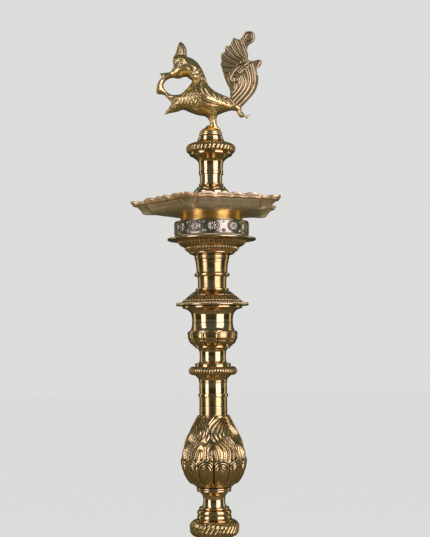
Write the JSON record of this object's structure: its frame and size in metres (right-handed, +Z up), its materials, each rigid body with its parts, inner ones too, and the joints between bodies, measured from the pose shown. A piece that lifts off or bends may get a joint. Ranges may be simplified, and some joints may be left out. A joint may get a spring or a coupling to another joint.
{
  "type": "standing oil lamp",
  "caption": "Tall standing brass oil lamp in screwed-together turned sections, with a spouted oil dish and a peacock finial, on a round hollow foot.",
  "frame": {"origin": "centre of the foot, on the floor", "axes": "+Z up along the lamp's axis, the peacock faces -X, the picture's front is -Y"},
  "size_m": [0.304, 0.304, 1.219],
  "materials": {
    "polished_brass": "polished turned brass, darker in the grooves",
    "cast_brass": "dull rough-cast brass, rubbed bright on edges and ribs",
    "bird_brass": "warm burnished cast brass with dark hollows",
    "pale_brass": "pale, silvery embossed brass",
    "thread_brass": "machined brass thread, slightly oiled"
  },
  "bodies": {
    "base": {"base_foot": "polished_brass", "base_bell": "polished_brass"},
    "drum_stud": {"drum_stud": "thread_brass"},
    "lower_drum": {"lower_drum": "polished_brass"},
    "knop_stud": {"knop_stud": "thread_brass"},
    "rope_knop": {"rope_knop": "polished_brass"},
    "pot_stud": {"pot_stud": "thread_brass"},
    "pot": {"pot": "polished_brass"},
    "vase_stud": {"vase_stud": "thread_brass"},
    "petal_vase": {"petal_vase": "polished_brass"},
    "column_stud": {"column_stud": "thread_brass"},
    "column": {"column": "polished_brass"},
    "cup_stud": {"cup_stud": "thread_brass"},
    "cup": {"drip_cup": "polished_brass", "embossed_collar": "pale_brass"},
    "dish_stud": {"dish_stud": "thread_brass"},
    "dish": {"oil_dish": "cast_brass"},
    "neck_stud": {"neck_stud": "thread_brass"},
    "finial_neck": {"finial_neck": "polished_brass"},
    "peacock_stud": {"peacock_stud": "thread_brass"},
    "peacock": {"peacock": "bird_brass", "peacock_tail": "cast_brass", "tail_pin": "thread_brass"}
  },
  "joints": [
    {"name": "drum_rise", "type": "slide", "parent": "base", "child": "drum_stud", "axis": [0, 0, 1], "range_m": [0, 0.015]},
    {"name": "drum_screw", "type": "hinge", "parent": "drum_stud", "child": "lower_drum", "pos_m": [0, 0, 0.25115], "axis": [0, 0, 1], "range_deg": [0, 1800]},
    {"name": "knop_rise", "type": "slide", "parent": "lower_drum", "child": "knop_stud", "axis": [0, 0, 1], "range_m": [0, 0.015]},
    {"name": "knop_screw", "type": "hinge", "parent": "knop_stud", "child": "rope_knop", "pos_m": [0, 0, 0.4003], "axis": [0, 0, 1], "range_deg": [0, 1800]},
    {"name": "pot_rise", "type": "slide", "parent": "rope_knop", "child": "pot_stud", "axis": [0, 0, 1], "range_m": [0, 0.015]},
    {"name": "pot_screw", "type": "hinge", "parent": "pot_stud", "child": "pot", "pos_m": [0, 0, 0.49495], "axis": [0, 0, 1], "range_deg": [0, 1800]},
    {"name": "vase_rise", "type": "slide", "parent": "pot", "child": "vase_stud", "axis": [0, 0, 1], "range_m": [0, 0.015]},
    {"name": "vase_screw", "type": "hinge", "parent": "vase_stud", "child": "petal_vase", "pos_m": [0, 0, 0.6441], "axis": [0, 0, 1], "range_deg": [0, 1800]},
    {"name": "column_rise", "type": "slide", "parent": "petal_vase", "child": "column_stud", "axis": [0, 0, 1], "range_m": [0, 0.015]},
    {"name": "column_screw", "type": "hinge", "parent": "column_stud", "child": "column", "pos_m": [0, 0, 0.78725], "axis": [0, 0, 1], "range_deg": [0, 1800]},
    {"name": "cup_rise", "type": "slide", "parent": "column", "child": "cup_stud", "axis": [0, 0, 1], "range_m": [0, 0.015]},
    {"name": "cup_screw", "type": "hinge", "parent": "cup_stud", "child": "cup", "pos_m": [0, 0, 0.8604], "axis": [0, 0, 1], "range_deg": [0, 1800]},
    {"name": "dish_rise", "type": "slide", "parent": "cup", "child": "dish_stud", "axis": [0, 0, 1], "range_m": [0, 0.015]},
    {"name": "dish_screw", "type": "hinge", "parent": "dish_stud", "child": "dish", "pos_m": [0, 0, 0.91915], "axis": [0, 0, 1], "range_deg": [0, 1800]},
    {"name": "neck_rise", "type": "slide", "parent": "dish", "child": "neck_stud", "axis": [0, 0, 1], "range_m": [0, 0.015]},
    {"name": "neck_screw", "type": "hinge", "parent": "neck_stud", "child": "finial_neck", "pos_m": [0, 0, 0.9523], "axis": [0, 0, 1], "range_deg": [0, 1800]},
    {"name": "peacock_rise", "type": "slide", "parent": "finial_neck", "child": "peacock_stud", "axis": [0, 0, 1], "range_m": [0, 0.009]},
    {"name": "peacock_screw", "type": "hinge", "parent": "peacock_stud", "child": "peacock", "pos_m": [0, 0, 1.05455], "axis": [0, 0, 1], "range_deg": [0, 2160]}
  ],
  "couplings": [
    {"joint": "drum_rise", "follows": "drum_screw", "m_per_rad": 0.00047746},
    {"joint": "knop_rise", "follows": "knop_screw", "m_per_rad": 0.00047746},
    {"joint": "pot_rise", "follows": "pot_screw", "m_per_rad": 0.00047746},
    {"joint": "vase_rise", "follows": "vase_screw", "m_per_rad": 0.00047746},
    {"joint": "column_rise", "follows": "column_screw", "m_per_rad": 0.00047746},
    {"joint": "cup_rise", "follows": "cup_screw", "m_per_rad": 0.00047746},
    {"joint": "dish_rise", "follows": "dish_screw", "m_per_rad": 0.00047746},
    {"joint": "neck_rise", "follows": "neck_screw", "m_per_rad": 0.00047746},
    {"joint": "peacock_rise", "follows": "peacock_screw", "m_per_rad": 0.00023873}
  ]
}
